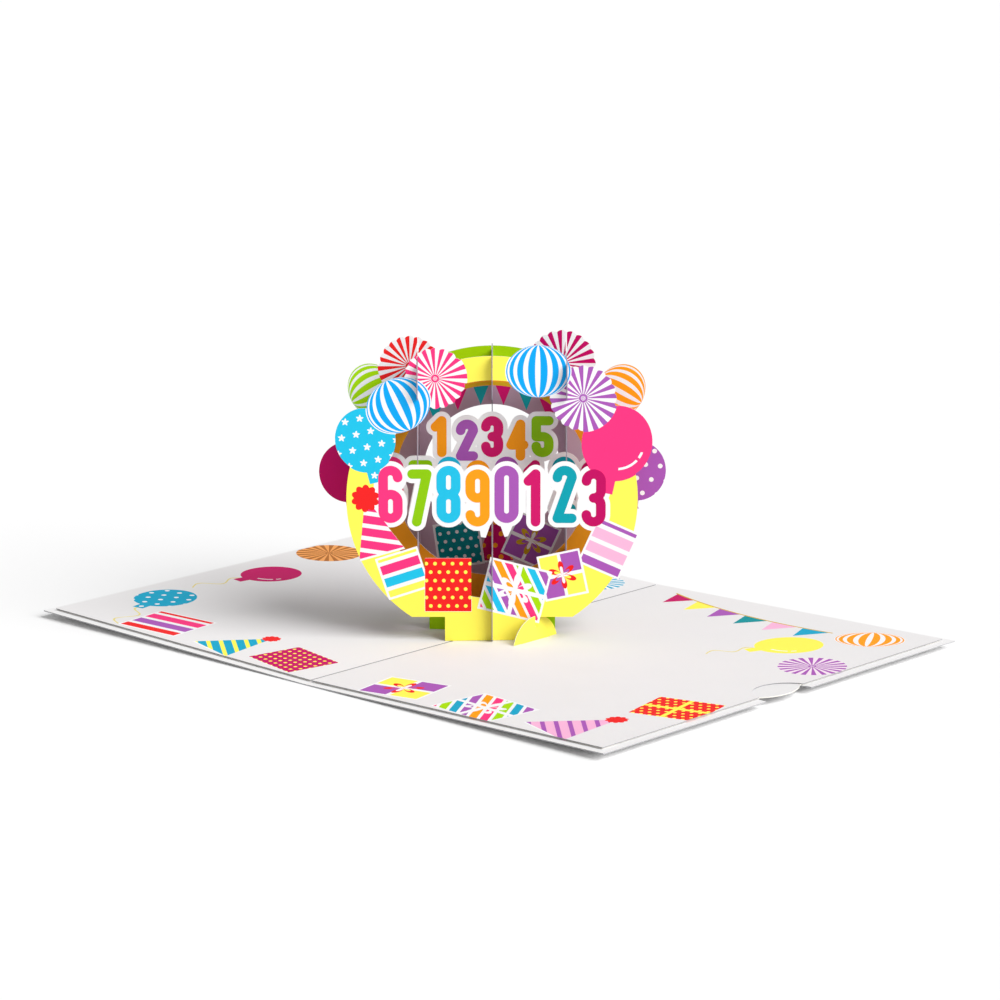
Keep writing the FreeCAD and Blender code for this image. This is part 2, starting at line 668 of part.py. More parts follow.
def make_middle_rib():
    """The middle rib is open towards the front, so that the numerals hide it."""
    low, high = 31.0, 83.0
    foot = floor_at(0, PITCH + size("rib_nose"))
    window = [rib_window(low, high), block(-PITCH, 0, low, high)]
    noses = [(-1, 88.4, 97.4), (1, 80.0, 92.0), (-1, foot, 28.6), (1, foot, 27.0)]
    slots = [(-PITCH, 80.0, MIDDLE_FRONT_LAP), (0, 76.0, MIDDLE_MIDDLE_LAP), (PITCH, 76.0, MIDDLE_BACK_LAP),
             (-PITCH, 0, BASE_LAP), (0, 0, BASE_LAP), (PITCH, 0, BASE_LAP)]
    return make_rib("rib_middle", 0, 97.4, (floor_at(0, 0), foot), window, noses, slots)


def make_side_rib(side, label):
    """A side rib hangs on the rings and ends above their flat feet."""
    foot = size("ring_flat") + 1
    noses = [(-1, 83.2, 94.8), (1, 73.0, 85.0)]
    slots = [(-PITCH, 75.0, SIDE_FRONT_LAP), (0, 66.0, SIDE_MIDDLE_LAP), (PITCH, 70.0, SIDE_BACK_LAP),
             (0, 0, SIDE_BASE_LAP)]
    return make_rib(label, side * size("rib_pitch"), 94.8, (foot, foot), [rib_window(30.0, 72.0)],
                    noses, slots)


def foot_shank(x, y, sole):
    """The foot's neck through the liner, and the glue flap that it folds into under the liner."""
    outer, inner = x + SHEET / 2, x - SHEET / 2
    slope = math.tan(TILT)
    flap_top = (size("cover_sheet") + size("strip_sheet")) / math.cos(TILT)
    flap_low = flap_top - SHEET / math.cos(TILT)
    strip_edge = size("crease_gap") + size("strip_inset") + size("strip_width")
    tip = max(inner - size("foot_flap"), strip_edge + 4 * PLAY)
    into_crown = sole + 1
    profile = [(outer, into_crown), (outer, flap_low + outer * slope), (tip, flap_low + tip * slope),
               (tip, flap_top + tip * slope), (inner, flap_top + inner * slope), (inner, into_crown)]
    neck = size("foot_neck")
    face = Part.Face(Part.makePolygon([Vector(a, y - neck / 2, b) for a, b in profile + profile[:1]]))
    return face.extrude(Vector(0, neck, 0))


def make_foot(side, label):
    """A half-round foot, slit for the base strip that it carries; the left one is turned half round."""
    x, y = foot_x(), foot_y()
    inner = x - SHEET / 2
    sole = STACK / math.cos(TILT) + (x + SHEET / 2) * math.tan(TILT) + PLAY
    radius = size("foot_radius")
    wide = 4 * SHEET
    crown = Part.makeCylinder(radius, SHEET, Vector(inner, y, sole - size("foot_sink")), Vector(1, 0, 0))
    crown = crown.cut(Part.makeBox(wide, 4 * radius, 2 * radius,
                                   Vector(inner - SHEET, y - 2 * radius, sole - 2 * radius)))
    solid = crown.fuse(foot_shank(x, y, sole)).removeSplitter()
    turn = math.radians(TURN)
    slit = SHEET / math.cos(turn) + SHEET * math.tan(turn) + 2 * PLAY
    slit_start = y + SHEET * math.tan(turn) - slit / 2
    solid = solid.cut(Part.makeBox(wide, slit, 2 * radius,
                                   Vector(inner - SHEET, slit_start, size("foot_slit_floor"))))
    if side < 0:
        solid.rotate(Vector(), Vector(0, 0, 1), 180)
    piece = doc.addObject("Part::Feature", label + "_sheet")
    piece.Shape = solid
    return finish_piece(piece, label)


make_cover()
make_mounting_strips(-1, "mounting_strip_left")
make_mounting_strips(1, "mounting_strip_right")
make_liner(-1, "liner_left")
make_liner(1, "liner_right")
make_note_card()
make_front_slice()
make_middle_slice()
make_back_slice()
make_side_rib(-1, "rib_left")
make_middle_rib()
make_side_rib(1, "rib_right")
make_foot(-1, "foot_left")
make_foot(1, "foot_right")
doc.recompute()

for item in doc.Objects:
    assert not {"Invalid", "Error"} & set(item.State), f"{item.Name} failed: {item.State}"
os.makedirs("parts", exist_ok=True)
for piece in parts:
    shape = piece.Shape
    assert not shape.isNull() and shape.isValid(), f"{piece.Label} is not a valid shape"
    assert shape.Solids and shape.Volume > 0, f"{piece.Label} holds no solid"
    shape.exportStep(f"parts/{piece.Label}.step")
    box = shape.BoundBox
    print(f"{piece.Label}: {len(shape.Solids)} solid, {shape.Volume:.1f} mm3, "
          f"x {box.XMin:.1f} to {box.XMax:.1f}, y {box.YMin:.1f} to {box.YMax:.1f}, "
          f"z {box.ZMin:.2f} to {box.ZMax:.2f}")
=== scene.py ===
# %% [markdown]
# # A pop-up party card
#
# The card lies open in a shallow V. Across its crease stands a lattice of cut sheets: three rings that
# face the reader, hooked together by three ribs, on two half-round feet. The shapes come from the CAD
# model. What this script adds is what a printer adds to plain card, ink and numerals, and then light.

# %% Load the card
import math

import bmesh
import bpy
from mathutils import Matrix, Vector


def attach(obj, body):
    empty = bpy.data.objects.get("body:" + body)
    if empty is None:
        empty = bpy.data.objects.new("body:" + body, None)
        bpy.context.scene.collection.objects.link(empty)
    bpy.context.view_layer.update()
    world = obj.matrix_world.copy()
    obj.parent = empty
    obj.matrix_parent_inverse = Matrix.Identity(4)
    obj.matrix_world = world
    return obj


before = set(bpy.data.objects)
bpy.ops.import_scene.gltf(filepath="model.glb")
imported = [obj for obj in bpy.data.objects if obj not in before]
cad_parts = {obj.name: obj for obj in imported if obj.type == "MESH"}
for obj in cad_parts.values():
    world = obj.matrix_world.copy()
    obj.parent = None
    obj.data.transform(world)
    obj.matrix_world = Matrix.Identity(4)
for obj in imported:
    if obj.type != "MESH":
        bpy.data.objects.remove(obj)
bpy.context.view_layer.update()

print("nodes:", ", ".join(sorted(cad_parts)))

# %% [markdown]
# ## Measures
#
# The script works in millimetres and turns them into metres at the end. The rings stand at an angle
# across the crease, so every pattern on them is drawn in two directions of their own: `u`, along a
# ring, and `z`, up.

# %% The card's own measures
MM = 0.001
TURN = math.radians(42.53)
ALONG = Vector((math.cos(TURN), math.sin(TURN), 0))
BACKWARD = Vector((-math.sin(TURN), math.cos(TURN), 0))
PITCH = 14.5
SHEET = 0.30
OPENING_HEIGHT = 52.7
FRONT_OPENING = 36.9
MIDDLE_OPENING = 32.4
LOWER_DIGITS = [6, 7, 8, 9, 0, 1, 2, 3]
UPPER_DIGITS = [1, 2, 3, 4, 5]
LOWER_ROW = {"pitch": 9.6, "height": 22.4, "floor": 39.4}
UPPER_ROW = {"pitch": 8.4, "height": 17.0, "floor": 58.6}
STROKE = 3.2
BORDER = 1.5
print(f"rings stand at {math.degrees(TURN):.1f} degrees, {PITCH} mm apart")

# %% [markdown]
# ## Inks
#
# Printers name a colour by what it looks like on paper, which is what the six-digit codes say. A
# shader works with amounts of light instead, so `ink` converts one into the other.


# %% Colours of the print
def ink(code):
    """A paper colour, written as six hexadecimal digits, as linear light."""
    channels = [int(code[i:i + 2], 16) / 255 for i in (0, 2, 4)]
    linear = [c / 12.92 if c <= 0.04045 else ((c + 0.055) / 1.055) ** 2.4 for c in channels]
    return (*linear, 1.0)


WHITE = ink("F4F4F5")
LINER_WHITE = ink("E8E6E6")
CUT_EDGE = ink("E9E6DE")
# Painted shade: the ribs' cut edges are dark grey, though their core is pale paper.
RIB_EDGE_SHADE = ink("8F8B96")
# Painted shade: the liners' cut edges are grey, as the shadow line along the card's edges.
LINER_EDGE_SHADE = ink("A3A3A6")
# Painted shade: the cover's cut edge is grey, as the shadow line where it meets the table.
COVER_EDGE_SHADE = ink("B2B2B4")
YELLOW = ink("FFF45A")
GOLD = ink("D2A818")
STRAW = ink("E8D98A")
LIME = ink("A6DB00")
ORANGE = ink("FF9F12")
AMBER = ink("EA9A1E")
HOT_PINK = ink("F8357F")
MAGENTA = ink("C20060")
PURPLE = ink("A858B4")
LILAC = ink("C8ACBC")
PALE_PINK = ink("F6B6D8")
TEAL = ink("008F96")
CYAN = ink("1FC0E6")
BLUE = ink("06A6F0")
DEEP_CYAN = ink("08A4C8")
RED = ink("EE2222")
print("yellow as light:", [round(c, 3) for c in YELLOW[:3]])

# %% [markdown]
# ## A small language for prints
#
# A print is flat colour inside simple outlines. In a shader, an outline is a sum: a point is inside a
# disc where its distance from the middle is below the radius. Writing such sums with nodes by hand is
# slow, so `Field` wraps one number that varies over the sheet, and Python's own operators add the
# Math nodes. `Finish` holds one material while it is built.


# %% Fields: numbers that vary over a sheet
class Field:
    def __init__(self, finish, socket):
        self.finish = finish
        self.socket = socket

    def math(self, operation, *others):
        inputs = dict(enumerate((self, *others)))
        return self.finish.node("ShaderNodeMath", {"operation": operation}, inputs)

    def __add__(self, other):
        return self.math("ADD", other)

    def __sub__(self, other):
        return self.math("SUBTRACT", other)

    def __rsub__(self, other):
        return self.finish.node("ShaderNodeMath", {"operation": "SUBTRACT"}, {0: other, 1: self})

    def __mul__(self, other):
        return self.math("MULTIPLY", other)

    def __truediv__(self, other):
        return self.math("DIVIDE", other)

    def __abs__(self):
        return self.math("ABSOLUTE")

    __radd__ = __add__
    __rmul__ = __mul__

    def below(self, other):
        return self.math("LESS_THAN", other)

    def above(self, other):
        return self.math("GREATER_THAN", other)

    def either(self, other):
        return self.math("MAXIMUM", other)

    def fraction(self):
        return self.math("FRACT")


class Finish:
    def __init__(self, name):
        self.material = bpy.data.materials.new(name)
        self.material.use_nodes = True
        self.tree = self.material.node_tree
        self.shader = next(n for n in self.tree.nodes if n.type == "BSDF_PRINCIPLED")

    def node(self, kind, settings=None, inputs=None, output=0):
        """Adds one node: first its settings, then the values or links of its sockets."""
        made = self.tree.nodes.new(kind)
        for name, value in (settings or {}).items():
            setattr(made, name, value)
        for key, value in (inputs or {}).items():
            if isinstance(value, Field):
                self.tree.links.new(value.socket, made.inputs[key])
            else:
                made.inputs[key].default_value = value
        return Field(self, made.outputs[output])

    def place(self):
        """The point on the piece, in metres, in the card's own frame."""
        return self.node("ShaderNodeTexCoord", output="Object")

    def dot(self, vector, direction):
        return self.node("ShaderNodeVectorMath", {"operation": "DOT_PRODUCT"},
                         {0: vector, 1: tuple(direction)}, output="Value")

    def plan(self, across, up):
        """Flat coordinates in millimetres along two directions of the card."""
        point = self.place()
        return self.node("ShaderNodeCombineXYZ", None, {
            "X": self.dot(point, Vector(across) / MM),
            "Y": self.dot(point, Vector(up) / MM)})

    def paint(self, under, over, mask):
        """One colour over another where the mask is 1."""
        return self.node("ShaderNodeMix", {"data_type": "RGBA"}, {0: mask, 6: under, 7: over}, output=2)

    def ramp(self, position, colours):
        """Bands of equal width, one for each colour, over positions from 0 to 1."""
        made = self.node("ShaderNodeValToRGB", None, {0: position})
        stops = made.socket.node.color_ramp
        stops.interpolation = "CONSTANT"
        while len(stops.elements) < len(colours):
            stops.elements.new(0.5)
        for i, colour in enumerate(colours):
            stops.elements[i].position = i / len(colours)
            stops.elements[i].color = colour
        return made

    def set(self, **constants):
        for name, value in constants.items():
            self.shader.inputs[name.replace("_", " ")].default_value = value

    def feed(self, name, field):
        self.tree.links.new(field.socket, self.shader.inputs[name])


print("a finish starts from the principled shader")

# %% [markdown]
# ## Outlines
#
# Every motif is drawn about its own middle. A `Spot` counts coordinates from there, `a` to the right
# and `b` up, after turning by the motif's lean. Its methods are the outlines: each gives 1 inside and
# 0 outside.


# %% Outlines about a spot
class Spot:
    def __init__(self, finish, plan, centre, lean=0.0):
        self.finish = finish
        self.vector = finish.node("ShaderNodeMapping", {"vector_type": "TEXTURE"}, {
            "Vector": plan, "Location": (*centre, 0), "Rotation": (0, 0, math.radians(lean))})
        self.a = finish.node("ShaderNodeSeparateXYZ", None, {0: self.vector})
        self.b = Field(finish, self.a.socket.node.outputs[1])

    def reach(self):
        return self.finish.node("ShaderNodeVectorMath", {"operation": "LENGTH"},
                                {0: self.vector}, output="Value")

    def angle(self):
        return self.b.math("ARCTAN2", self.a)

    def disc(self, radius):
        return self.reach().below(radius)

    def scallop(self, radius, count):
        """A disc with a rounded tooth for each count."""
        tooth = abs((self.angle() * (count / 2)).math("COSINE"))
        return self.reach().below(tooth * (0.2 * radius) + 0.84 * radius)

    def ring(self, radius, half_width):
        return abs(self.reach() - radius).below(half_width)

    def oval(self, wide, tall):
        shrunk = self.finish.node("ShaderNodeVectorMath", {"operation": "MULTIPLY"},
                                  {0: self.vector, 1: (1 / wide, 1 / tall, 0)})
        length = self.finish.node("ShaderNodeVectorMath", {"operation": "LENGTH"}, {0: shrunk}, output="Value")
        return length.below(1)

    def box(self, wide, tall):
        return abs(self.a).below(wide / 2) * abs(self.b).below(tall / 2)

    def triangle(self, wide, tall):
        """A triangle on its base, which lies at b = 0."""
        return (abs(self.a) * (2 * tall / wide) + self.b).below(tall) * self.b.above(0)

    def wedges(self, count, share=0.5):
        return (self.angle() * (count / math.tau)).fraction().below(share)

    def stripes(self, pitch, share=0.5, slant=0.0):
        across = self.a + self.b * slant if slant else self.a
        return (across / pitch).fraction().below(share)

    def cell(self, pitch):
        """A point's place in a staggered grid, counted from the middle of its cell."""
        row = (self.b / pitch).math("FLOOR")
        a = (self.a / pitch + row * 0.5).fraction() - 0.5
        b = (self.b / pitch).fraction() - 0.5
        return a * pitch, b * pitch

    def dots(self, pitch, radius):
        a, b = self.cell(pitch)
        return (a * a + b * b).below(radius * radius)

    def stars(self, pitch, radius):
        a, b = self.cell(pitch)
        fold = abs((b.math("ARCTAN2", a) * (5 / math.tau)).fraction() - 0.5)
        return (a * a + b * b).math("SQRT").below(fold * (1.2 * radius) + 0.4 * radius)

    def petals(self, count, size, thick):
        """Loops of ribbon round a middle, as in a bow seen from above."""
        loop = abs((self.angle() * (count / 2)).math("SINE")) * size
        reach = self.reach()
        return reach.below(loop) * reach.above(loop * 0.72 - thick)


print("outlines:", ", ".join(n for n in vars(Spot) if not n.startswith("_")))

# %% [markdown]
# ## Motifs
#
# Party figures are as old as printed stationery: balloons, paper fans, lanterns, parcels, hats and
# bunting. Each function lays one over the colour that is already there and gives the new colour back.


# %% Fans, lanterns and balloons
def paint_fan(finish, under, plan, centre, radius, colour, fold=WHITE, folds=20):
    spot = Spot(finish, plan, centre)
    inside = spot.disc(radius + 0.4)
    paper = finish.paint(fold, colour, spot.wedges(folds, 0.5))
    paper = finish.paint(paper, colour, spot.ring(radius * 0.1, 0.28))
    return finish.paint(under, paper, inside)


def paint_lantern(finish, under, plan, centre, wide, tall, lean, colour, ribs=8):
    spot = Spot(finish, plan, centre, lean)
    level = spot.b / tall
    share = (1 - level * level).either(0.02).math("SQRT")
    meridian = (spot.a / wide / share).math("ARCSINE")
    paper = finish.paint(colour, WHITE, (meridian * (ribs / math.pi) + 0.25).fraction().below(0.42))
    return finish.paint(under, paper, spot.oval(wide + 0.3, tall + 0.3))


def paint_balloon(finish, under, plan, centre, radius, lean, colour, pattern=None):
    """The knot hangs below the oval, at the end that the balloon leans away from."""
    spot = Spot(finish, plan, centre, lean)
    skin = colour
    if pattern == "dots":
        skin = finish.paint(colour, WHITE, spot.dots(radius * 0.52, radius * 0.085))
    elif pattern == "stars":
        skin = finish.paint(colour, WHITE, spot.stars(radius * 0.50, radius * 0.13))
    else:
        glint = spot.ring(radius * 0.76, radius * 0.035) * spot.a.above(radius * 0.2)
        glint = glint * spot.b.below(-radius * 0.12) * (spot.b + spot.a * 0.5).math("PINGPONG", 4.2).above(0.6)
        skin = finish.paint(colour, WHITE, glint)
    knot = (abs(spot.a) * -1.8 - spot.b).above(radius * 0.62) * (spot.b * -1).below(radius * 1.5)
    knot = knot * abs(spot.a).below(2.2)
    return finish.paint(under, skin, spot.oval(radius * 1.02, radius * 1.12).either(knot))


print("round motifs ready")


# %% Parcels
def paint_parcel(finish, under, plan, centre, wide, tall, lean, papers, ribbon, pattern, bow=None, rim=0.65):
    """A wrapped parcel with a pale rim, a crossed ribbon and a bow."""
    spot = Spot(finish, plan, centre, lean)
    paper = papers[0]
    if pattern in ("stripes", "bands"):
        bands = (spot.a + spot.b * 0.8) / (wide * 0.92) if pattern == "stripes" else spot.b / (tall * 0.9)
        gap = (bands * len(papers)).fraction().below(0.3)
        paper = finish.paint(finish.ramp(bands.fraction(), papers), WHITE, gap)
    elif pattern == "dots":
        paper = finish.paint(papers[0], papers[1], spot.dots(2.9, 0.62))
    elif pattern == "quarters":
        paper = finish.paint(papers[0], papers[1], (spot.a * spot.b).above(0))
    if ribbon:
        crossed = abs(spot.a).below(wide * 0.035).either(abs(spot.b).below(tall * 0.04))
        paper = finish.paint(paper, ribbon, crossed)
    if bow:
        paper = finish.paint(paper, bow, spot.petals(6, min(wide, tall) * 0.33, 0.5))
    paper = finish.paint(WHITE, paper, spot.box(wide - 2 * rim, tall - 2 * rim))
    return finish.paint(under, paper, spot.box(wide + 0.2, tall + 0.2))


def paint_hat(finish, under, plan, centre, wide, tall, lean, colours, tuft, pattern="stripes", tuft_size=3.2):
    """A cone hat on its brim, with a tuft on the tip."""
    spot = Spot(finish, plan, centre, lean)
    if pattern == "stripes":
        skin = finish.paint(colours[0], colours[1], ((spot.b + spot.a * 0.45) / 4.6).fraction().below(0.34))
    else:
        skin = finish.paint(colours[0], colours[1], spot.dots(4.0, 0.85))
    skin = finish.paint(skin, WHITE, spot.b.below(0.7))
    under = finish.paint(under, skin, spot.triangle(wide + 0.5, tall + 0.5))
    lean_back = math.radians(lean)
    tip = (centre[0] - tall * math.sin(lean_back), centre[1] + tall * math.cos(lean_back))
    top = Spot(finish, plan, tip, lean)
    return finish.paint(under, tuft, top.scallop(tuft_size, 10))


def paint_string(finish, under, plan, start, length, lean, colour):
    """A thin cord that winds away from its start, against its own lean."""
    spot = Spot(finish, plan, start, lean)
    sway = (spot.b * (math.tau / length * 1.6)).math("SINE") * (length * 0.11)
    cord = abs(spot.a - sway).below(0.42) * spot.b.below(0) * spot.b.above(-length)
    return finish.paint(under, colour, cord)


def paint_bunting(finish, under, plan, start, span, lean, sag, flags, drop, colours, string):
    """A sagging string with a row of pointed flags, from start, along its own lean."""
    spot = Spot(finish, plan, start, lean)
    along = spot.a / span
    here = spot.a.above(0) * spot.a.below(span)
    hang = along * (along - 1) * (4 * sag)
    fallen = (hang - spot.b) / drop
    across = abs((along * flags).fraction() - 0.5) * 2.4
    flag = (across + fallen).below(1) * fallen.above(0) * here
    under = finish.paint(under, finish.ramp(along, colours), flag)
    return finish.paint(under, string, abs(hang - spot.b).below(0.38) * here)


print("parcels, hats and bunting ready")

# %% [markdown]
# ## Card stock
#
# The sheets are coated card of about 300 grams: smooth, a little satin, with a faint tooth that only
# shows in raking light. Where a blade has cut it, the pale core of the paper shows, so a finish turns
# pale where the surface doesn't face along the sheet's own normal. On the ribs, the liners and the cover
# that cut edge is painted grey instead, as painted shade.


# %% Paper tooth and cut edges
def finish_card(finish, colour, facing, roughness=0.52, core_and_edge_shade=CUT_EDGE, sheen=0.12):
    """Feeds a print to the shader, with the paper's tooth and its cut edge: the pale core, unless the caller gives a
    grey painted shade for it.
    """
    point = finish.place()
    tooth = finish.node("ShaderNodeTexNoise", None, {"Vector": point, "Scale": 2600.0, "Detail": 3.0})
    cloud = finish.node("ShaderNodeTexNoise", None, {"Vector": point, "Scale": 60.0, "Detail": 2.0})
    normal = finish.node("ShaderNodeNewGeometry", output="True Normal")
    # Faces across the sheet take the edge colour: the pale core, and on the ribs, liners and cover a grey painted
    # shade.
    edge = abs(finish.dot(normal, facing)).below(0.6)
    shade = finish.node("ShaderNodeVectorMath", {"operation": "SCALE"},
                        {0: finish.paint(colour, core_and_edge_shade, edge), "Scale": 0.985 + cloud * 0.03})
    bump = finish.node("ShaderNodeBump", None, {"Height": tooth, "Strength": 0.12, "Distance": 0.00004})
    finish.feed("Base Color", shade)
    finish.feed("Roughness", roughness - 0.05 + cloud * 0.1)
    finish.feed("Normal", bump)
    finish.set(Specular_IOR_Level=sheen)
    return finish.material


def dress(node, material):
    """Gives a CAD node its finish."""
    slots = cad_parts[node].data.materials
    slots.clear()
    slots.append(material)
    print(f"{node}: {material.name}, {len(material.node_tree.nodes)} nodes")


print("card stock ready")

# %% [markdown]
# ## Rows of numerals
#
# The numerals are flat shapes with round ends, as a round nib draws them. Their strokes are needed
# twice: here for the pale plate that each numeral is printed on, which is every stroke widened by a
# border, and later for the ink itself.


# %% The strokes of each numeral
def numeral_strokes(digit, bow, tall):
    """Lines as two end points, and bows as a centre, a radius and two angles, about the lower middle."""
    mid = tall / 2
    over = (0, tall - bow, bow, 0, 180)
    under = (0, bow, bow, 180, 360)
    upper_back = (0, mid + bow, bow, 180, 360)
    lower_front = (0, mid - bow, bow, 0, 180)

    def side(u, low, high):
        return ((u, low), (u, high))

    upper_sides = [side(-bow, mid + bow, tall - bow), side(bow, mid + bow, tall - bow)]
    lower_sides = [side(-bow, bow, mid - bow), side(bow, bow, mid - bow)]
    return {
        0: [over, under, side(-bow, bow, tall - bow), side(bow, bow, tall - bow)],
        1: [side(0, 0, tall), ((-bow, tall - bow), (0, tall))],
        2: [over, ((bow, tall - bow), (-bow, 0)), ((-bow, 0), (bow, 0))],
        3: [over, (0, mid + bow, bow, 270, 360), (0, mid - bow, bow, 0, 90), under,
            upper_sides[1], lower_sides[1]],
        4: [side(0.5 * bow, 0, tall), ((0.5 * bow, tall), (-bow, 0.35 * tall)),
            ((-bow, 0.35 * tall), (bow, 0.35 * tall))],
        5: [((-bow, tall), (bow, tall)), side(-bow, mid, tall), ((-bow, mid), (0, mid)),
            (0, mid - bow, bow, 0, 90), lower_sides[1], under],
        6: [over, side(-bow, bow, tall - bow), lower_front, lower_sides[1], under],
        7: [((-bow, tall), (bow, tall)), ((bow, tall), (-0.4 * bow, 0))],
        8: [over, upper_back, *upper_sides, lower_front, *lower_sides, under],
        9: [over, upper_back, upper_sides[0], side(bow, bow, tall - bow), under],
    }[digit]


print("strokes in a 6:", len(numeral_strokes(6, 2.3, 15.0)))


# %% Where a numeral stands, and its plate
def numeral_size(row):
    """The radius of a numeral's bows and its height, without the border of its plate."""
    return row["pitch"] / 4, row["height"] - 2 * (STROKE / 2 + BORDER)


def numeral_foot(row, count, place):
    """The lower middle of a numeral; every second one stands a little higher."""
    u = (place - (count - 1) / 2) * row["pitch"]
    return u, row["floor"] + STROKE / 2 + BORDER + 0.6 * (-1) ** place


def paint_plate(finish, under, plan, row, digits, place):
    """The pale plate of one numeral: a nib with the border's width goes over each stroke."""
    reach = STROKE / 2 + BORDER
    bow, tall = numeral_size(row)
    u, z = numeral_foot(row, len(digits), place)
    plate = None
    for stroke in numeral_strokes(digits[place], bow, tall):
        if len(stroke) == 2:
            (u0, z0), (u1, z1) = stroke
            lean = math.degrees(math.atan2(z1 - z0, u1 - u0))
            spot = Spot(finish, plan, (u + (u0 + u1) / 2, z + (z0 + z1) / 2), lean)
            past_end = (abs(spot.a) - math.dist(*stroke) / 2).either(0)
            part = (past_end * past_end + spot.b * spot.b).below(reach * reach)
        else:
            part = Spot(finish, plan, (u + stroke[0], z + stroke[1])).disc(bow + reach)
        plate = plate.either(part) if plate else part
    return finish.paint(under, WHITE, plate)


print("numeral plates ready")

# %% [markdown]
# ## The rings
#
# A ring's ground colour comes first, then whatever stands in its opening, which is cut on pale card,
# then the motifs in the order in which they lie over each other. The sizes repeat the outlines of the
# cut sheets, so that every figure fills its own silhouette.


# %% The front ring
def front_ring():
    finish = Finish("yellow_printed_card")
    plan = finish.plan(ALONG, (0, 0, 1))
    opening = Spot(finish, plan, (0, OPENING_HEIGHT))
    colour = finish.paint(YELLOW, WHITE, opening.disc(FRONT_OPENING))
    for place in (0, 7):
        colour = paint_plate(finish, colour, plan, LOWER_ROW, LOWER_DIGITS, place)
    colour = paint_balloon(finish, colour, plan, (41.2, 68.6), 11.6, -12, HOT_PINK)
    colour = paint_balloon(finish, colour, plan, (-41.8, 69.6), 9.9, 14, CYAN, "stars")
    colour = paint_fan(finish, colour, plan, (30.0, 83.6), 11.0, PURPLE)
    colour = paint_lantern(finish, colour, plan, (15.2, 92.6), 10.6, 8.69, 0, BLUE)
    colour = paint_fan(finish, colour, plan, (-18.7, 90.2), 10.2, HOT_PINK)
    colour = paint_lantern(finish, colour, plan, (-30.8, 81.2), 10.8, 9.07, 25, BLUE)
    colour = paint_parcel(finish, colour, plan, (38.6, 33.0), 15.0, 17.0, -24, [PALE_PINK, PURPLE, PALE_PINK],
                          None, "bands")
    colour = paint_hat(finish, colour, plan, (-36.4, 30.6), 15.6, 20.0, 16, [HOT_PINK, WHITE], RED, "stripes", 4.5)
    colour = paint_parcel(finish, colour, plan, (-29.6, 24.4), 14.6, 14.6, 18, [HOT_PINK, YELLOW, CYAN], None, "bands")
    colour = paint_parcel(finish, colour, plan, (-14.6, 20.4), 15.4, 18.2, 0, [RED, YELLOW], None, "dots", rim=0.0)
    colour = paint_parcel(finish, colour, plan, (23.4, 23.8), 14.5, 15.5, 12, [YELLOW, PURPLE], WHITE, "quarters", RED)
    colour = paint_parcel(finish, colour, plan, (7.5, 18.6), 21.0, 18.0, -14,
                          [HOT_PINK, LIME, CYAN, PURPLE, ORANGE], WHITE, "stripes", WHITE)
    return finish_card(finish, colour, BACKWARD)


dress("slice_front", front_ring())


# %% The middle ring
def middle_ring():
    finish = Finish("lime_printed_card")
    plan = finish.plan(ALONG, (0, 0, 1))
    opening = Spot(finish, plan, (0, OPENING_HEIGHT))
    reach = opening.reach()
    colour = finish.paint(LIME, AMBER, reach.below(41.5))
    colour = finish.paint(colour, WHITE, reach.below(MIDDLE_OPENING))
    flags = (opening.a / 7.6 / 2 + 0.5).fraction()
    flag_colour = finish.ramp(flags, [TEAL, MAGENTA])
    colour = finish.paint(colour, flag_colour, opening.b.above(16.0) * reach.above(22.6) * abs(opening.a).below(23.0)
                          * reach.below(MIDDLE_OPENING))
    colour = finish.paint(colour, GOLD, abs(reach - MIDDLE_OPENING - 0.7).below(0.55) * opening.b.above(20.0))
    for place in (0, 7):
        colour = paint_plate(finish, colour, plan, LOWER_ROW, LOWER_DIGITS, place)
    for place in range(len(UPPER_DIGITS)):
        colour = paint_plate(finish, colour, plan, UPPER_ROW, UPPER_DIGITS, place)
    colour = paint_balloon(finish, colour, plan, (48.6, 56.0), 9.4, -6, PURPLE, "dots")
    colour = paint_balloon(finish, colour, plan, (-48.2, 55.6), 9.6, 8, MAGENTA)
    colour = paint_lantern(finish, colour, plan, (42.6, 83.2), 9.4, 8.1, 60, ORANGE)
    colour = paint_lantern(finish, colour, plan, (-39.6, 83.4), 9.4, 8.1, -60, LIME)
    colour = paint_fan(finish, colour, plan, (23.2, 92.6), 11.2, MAGENTA)
    colour = paint_fan(finish, colour, plan, (-27.4, 91.6), 10.2, RED)
    return finish_card(finish, colour, BACKWARD)


dress("slice_middle", middle_ring())


# %% The back ring
def back_ring():
    finish = Finish("lilac_printed_card")
    plan = finish.plan(ALONG, (0, 0, 1))
    colour = LILAC
    colour = paint_hat(finish, colour, plan, (1.0, 21.0), 12.4, 18.0, 0, [MAGENTA, ORANGE], ORANGE, "dots", 2.5)
    colour = paint_parcel(finish, colour, plan, (-11.4, 27.4), 15.6, 15.6, 8, [TEAL, WHITE], None, "dots")
    colour = paint_parcel(finish, colour, plan, (13.2, 28.6), 15.6, 15.6, -24, [PURPLE, PURPLE], WHITE, "plain", GOLD)
    return finish_card(finish, colour, BACKWARD)


dress("slice_back", back_ring())


# %% [markdown]
# ## Ribs and feet
#
# The ribs and feet are the same card, printed in one colour all over.


# %% Plain coloured sheets
def plain_sheet(name, colour, facing, core_and_edge_shade=CUT_EDGE):
    finish = Finish(name)
    point = finish.place()
    mottle = finish.node("ShaderNodeTexNoise", None, {"Vector": point, "Scale": 900.0, "Detail": 4.0})
    deeper = tuple(c * 0.93 for c in colour[:3]) + (1.0,)
    return finish_card(finish, finish.paint(colour, deeper, mottle), facing, core_and_edge_shade=core_and_edge_shade)


FOOT_FACING = Vector((1, 0, 0))
